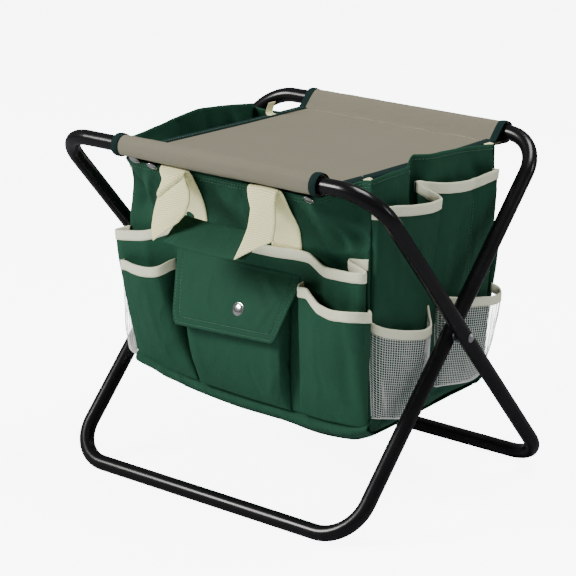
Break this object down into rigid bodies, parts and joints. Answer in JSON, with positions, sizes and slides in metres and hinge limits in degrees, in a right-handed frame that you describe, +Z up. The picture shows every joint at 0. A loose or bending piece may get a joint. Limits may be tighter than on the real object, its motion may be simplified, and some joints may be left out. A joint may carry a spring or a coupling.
{
  "type": "folding garden stool with tool bag",
  "caption": "Folding stool with crossed steel tube loops, a sling seat and a hanging canvas tool bag with outer pockets, mesh pockets, a flap and webbing handles.",
  "frame": {"origin": "on the floor, under the middle of the open stool", "axes": "+X to the right, -Y to the front (the flap side), +Z up"},
  "size_m": [0.4244, 0.363, 0.366],
  "materials": {
    "black_steel": "gloss",
    "rivet_steel": "satin",
    "seat_fabric": "coarse woven polyester",
    "edge_tape_green": "dark green tape",
    "canvas": "woven polyester canvas",
    "webbing": "ribbed cotton webbing",
    "binding_tape": "woven tape",
    "mesh": "open net",
    "chrome": "polished"
  },
  "bodies": {
    "outer_frame": {"outer_loop": "black_steel", "pivot_rivets": "rivet_steel", "pivot_spacers": "rivet_steel", "front_sleeve": "seat_fabric", "front_sleeve_bindings": "edge_tape_green", "seat_panel": "seat_fabric", "seat_edge_bindings": "edge_tape_green", "seat_edge_tapes": "webbing"},
    "inner_frame": {"inner_loop": "black_steel", "back_sleeve": "seat_fabric", "back_sleeve_bindings": "edge_tape_green"},
    "bag_front": {"bag_front_panel": "canvas", "bag_left_panel": "canvas", "bag_right_panel": "canvas", "bag_bottom": "canvas", "front_pocket_strip": "canvas", "front_lower_pocket_left": "canvas", "front_lower_pocket_right": "canvas", "center_pocket": "canvas", "flap_snap_stud": "chrome", "front_upper_binding": "binding_tape", "front_lower_bindings": "binding_tape", "right_upper_pockets": "canvas", "right_mesh_pocket_front": "mesh", "right_mesh_pocket_back": "mesh", "right_upper_binding": "binding_tape", "right_mesh_bindings": "binding_tape", "left_upper_pockets": "canvas", "left_mesh_pocket_front": "mesh", "left_mesh_pocket_back": "mesh", "left_upper_binding": "binding_tape", "left_mesh_bindings": "binding_tape", "front_handle_bases": "webbing", "front_hanging_tabs": "edge_tape_green", "front_snaps": "chrome"},
    "pocket_flap": {"pocket_flap": "canvas", "flap_snap_cap": "chrome"},
    "front_handle": {"front_handle_straps": "webbing", "front_handle_grip": "canvas"},
    "bag_back": {"bag_back_panel": "canvas", "back_pocket_strip": "canvas", "back_lower_pocket_left": "canvas", "back_lower_pocket_right": "canvas", "back_center_pocket": "canvas", "back_upper_binding": "binding_tape", "back_lower_bindings": "binding_tape", "back_handle_bases": "webbing", "back_hanging_tabs": "edge_tape_green", "back_snaps": "chrome"},
    "back_handle": {"back_handle_straps": "webbing", "back_handle_grip": "canvas"}
  },
  "joints": [
    {"name": "fold", "type": "hinge", "parent": "outer_frame", "child": "inner_frame", "pos_m": [0, 0, 0.18283], "axis": [1, 0, 0], "range_deg": [0, 76], "deforming": ["seat_panel", "seat_edge_bindings", "seat_edge_tapes"]},
    {"name": "bag_swing", "type": "hinge", "parent": "outer_frame", "child": "bag_front", "pos_m": [0, -0.13011, 0.29883], "axis": [1, 0, 0], "range_deg": [0, 38]},
    {"name": "bag_close", "type": "slide", "parent": "bag_front", "child": "bag_back", "axis": [0, -1, 0], "range_m": [0, 0.198], "deforming": ["bag_left_panel", "bag_right_panel", "bag_bottom", "right_upper_pockets", "right_mesh_pocket_front", "right_mesh_pocket_back", "right_upper_binding", "right_mesh_bindings", "left_upper_pockets", "left_mesh_pocket_front", "left_mesh_pocket_back", "left_upper_binding", "left_mesh_bindings"]},
    {"name": "flap_lift", "type": "hinge", "parent": "bag_front", "child": "pocket_flap", "pos_m": [0, -0.112, 0.2475], "axis": [-1, 0, 0], "range_deg": [0, 80]},
    {"name": "front_handle_lift", "type": "hinge", "parent": "bag_front", "child": "front_handle", "pos_m": [0, -0.155, 0.3375], "axis": [-1, 0, 0], "range_deg": [0, 115]},
    {"name": "back_handle_lift", "type": "hinge", "parent": "bag_back", "child": "back_handle", "pos_m": [0, 0.155, 0.3375], "axis": [1, 0, 0], "range_deg": [0, 115]}
  ],
  "couplings": [
    {"joint": "bag_swing", "follows": "fold", "ratio": 0.5},
    {"joint": "bag_close", "follows": "fold", "m_per_rad": 0.14927}
  ]
}
